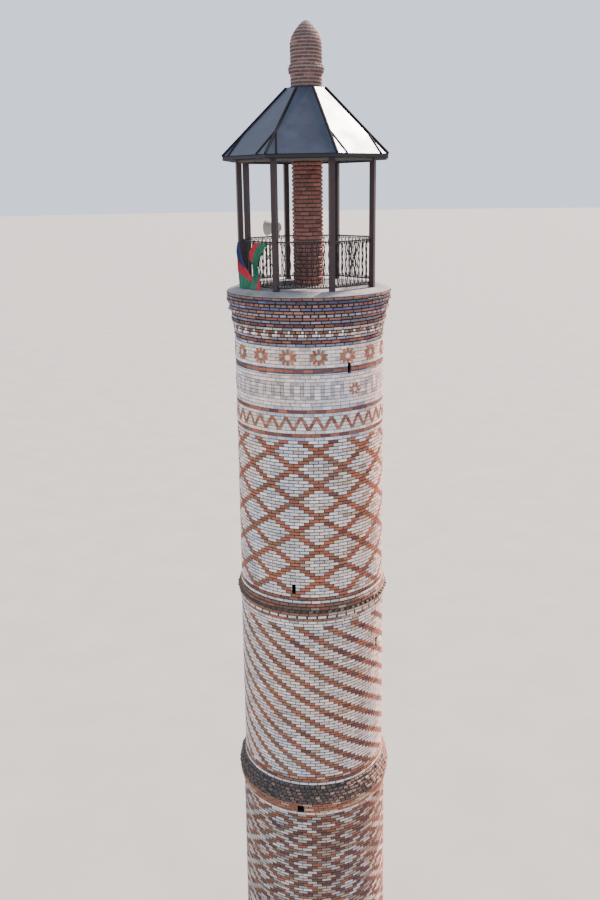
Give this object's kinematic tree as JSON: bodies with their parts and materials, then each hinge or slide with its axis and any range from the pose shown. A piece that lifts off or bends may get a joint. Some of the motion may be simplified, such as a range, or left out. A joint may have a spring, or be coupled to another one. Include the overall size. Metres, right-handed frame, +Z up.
{
  "type": "brick minaret",
  "caption": "Round patterned brick tower with ring mouldings, a doorway, light slits and an open roofed lantern with railings on top.",
  "frame": {"origin": "middle of the foot, on the flat underside of the central column, at ground level", "axes": "+Z up; -Y is the side that faces the viewer, with the doorway; +X to the right"},
  "size_m": [3.694, 3.6842, 24.123],
  "materials": {
    "stone": "weathered grey dressed limestone",
    "patterned_brick": "cream-white, terracotta and blue-grey bricks in bands and lozenges, dark joints",
    "red_brick": "red-brown brick with deep raked joints",
    "concrete": "grey trowelled concrete",
    "painted_tube": "dark plum-brown painted square tube",
    "wrought_iron": "black painted wrought iron",
    "roof_sheet": "slate blue-grey sheet metal, glossy",
    "soffit_board": "dark slate-blue painted board",
    "horn_metal": "light grey enamel",
    "flag_cloth": "thin cloth in blue, red and green bands"
  },
  "bodies": {
    "root": {"plinth_left": "stone", "plinth_right": "stone", "base_left": "patterned_brick", "base_right": "patterned_brick", "door_head": "patterned_brick", "ring_3_left": "patterned_brick", "ring_3_right": "patterned_brick", "tier_3_front": "patterned_brick", "tier_3_back": "patterned_brick", "ring_2_left": "patterned_brick", "ring_2_right": "patterned_brick", "tier_2_lower_left": "patterned_brick", "tier_2_lower_right": "patterned_brick", "tier_2_upper_left": "patterned_brick", "tier_2_upper_right": "patterned_brick", "ring_1_left": "patterned_brick", "ring_1_right": "patterned_brick", "tier_1_front": "patterned_brick", "tier_1_back": "patterned_brick", "cornice_left": "patterned_brick", "cornice_right": "patterned_brick", "central_column": "red_brick", "finial": "red_brick", "platform_slab": "concrete", "eave_beam": "painted_tube", "soffit": "soffit_board", "roof_shell": "roof_sheet", "horn_speaker": "horn_metal", "flag": "flag_cloth", "post_1": "painted_tube", "railing_1": "wrought_iron", "post_2": "painted_tube", "railing_2": "wrought_iron", "post_3": "painted_tube", "railing_3": "wrought_iron", "post_4": "painted_tube", "railing_4": "wrought_iron", "post_5": "painted_tube", "railing_5": "wrought_iron", "post_6": "painted_tube", "railing_6": "wrought_iron", "post_7": "painted_tube", "railing_7": "wrought_iron", "post_8": "painted_tube", "railing_8": "wrought_iron"}
  },
  "joints": []
}
